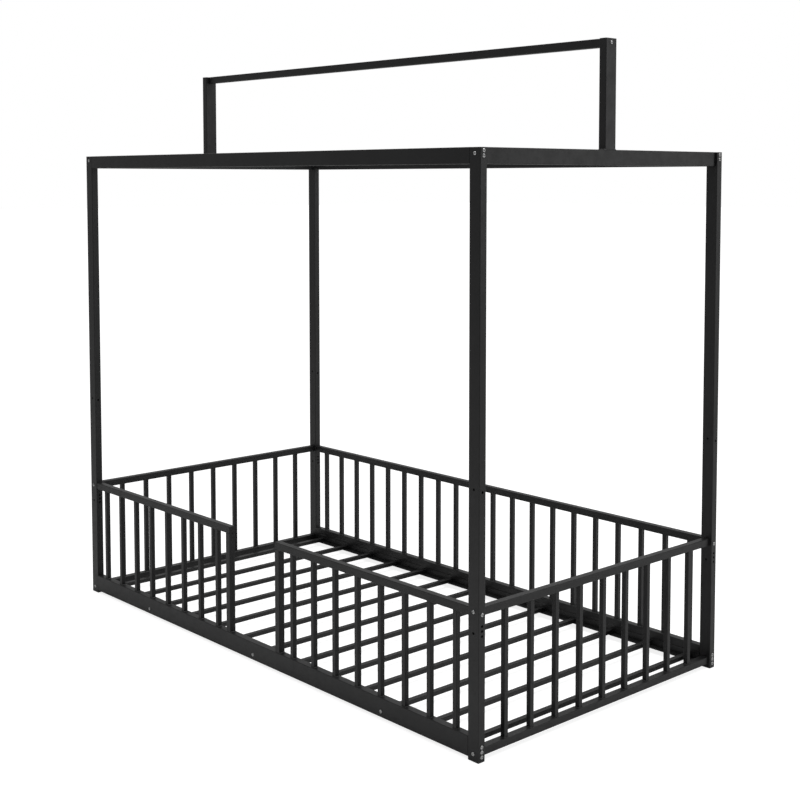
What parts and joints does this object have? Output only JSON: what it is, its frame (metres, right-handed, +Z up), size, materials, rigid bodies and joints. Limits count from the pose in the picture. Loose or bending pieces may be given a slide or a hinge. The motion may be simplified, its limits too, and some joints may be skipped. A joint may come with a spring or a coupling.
{
  "type": "four poster canopy bed",
  "caption": "Low steel canopy bed with tube posts, a canopy frame with a raised ridge beam, a slatted deck and a spindle fence with a doorway in front.",
  "frame": {"origin": "on the floor, under the middle of the bed", "axes": "+X along the bed to the right, +Y from the doorway side to the back, +Z up"},
  "size_m": [2.045, 1.067, 1.94],
  "materials": {
    "powder_coat": "satin black powder coat, fine texture",
    "plastic": "matte black moulded plastic",
    "insert_steel": "plain turned steel",
    "bolt_zinc": "bright zinc plate"
  },
  "bodies": {
    "root": {"post_front_left": "powder_coat", "post_front_right": "powder_coat", "post_back_left": "powder_coat", "post_back_right": "powder_coat", "post_top_caps": "plastic", "post_feet": "plastic", "post_spacers": "plastic", "canopy_rail_front": "powder_coat", "canopy_rail_back": "powder_coat", "canopy_rail_left": "powder_coat", "canopy_rail_right": "powder_coat", "ridge_upright_left": "powder_coat", "ridge_upright_right": "powder_coat", "ridge_beam": "powder_coat", "ridge_upright_caps": "plastic", "side_rail_front": "powder_coat", "side_rail_back": "powder_coat", "end_rail_left": "powder_coat", "end_rail_right": "powder_coat", "fence_rail_back": "powder_coat", "fence_rail_left": "powder_coat", "fence_rail_right": "powder_coat", "fence_rail_front_left": "powder_coat", "fence_rail_front_right": "powder_coat", "fence_rail_caps": "plastic", "doorway_stile_left": "powder_coat", "doorway_stile_right": "powder_coat", "spindles_back": "powder_coat", "spindles_left": "powder_coat", "spindles_right": "powder_coat", "spindles_front_left": "powder_coat", "spindles_front_right": "powder_coat", "slat_bearer_front": "powder_coat", "slat_bearer_back": "powder_coat", "slat_01": "powder_coat", "slat_02": "powder_coat", "slat_03": "powder_coat", "slat_04": "powder_coat", "slat_05": "powder_coat", "slat_06": "powder_coat", "slat_07": "powder_coat", "slat_08": "powder_coat", "slat_09": "powder_coat", "slat_10": "powder_coat", "slat_11": "powder_coat", "slat_12": "powder_coat", "slat_13": "powder_coat", "slat_plugs": "plastic", "canopy_inserts": "insert_steel", "side_rail_inserts": "insert_steel", "end_rail_inserts": "insert_steel", "fence_inserts": "insert_steel", "ridge_inserts": "insert_steel", "tie_inserts": "insert_steel", "long_post_bolts": "bolt_zinc", "short_post_bolts": "bolt_zinc", "tie_bolts": "bolt_zinc", "ridge_beam_bolts": "bolt_zinc"}
  },
  "joints": []
}
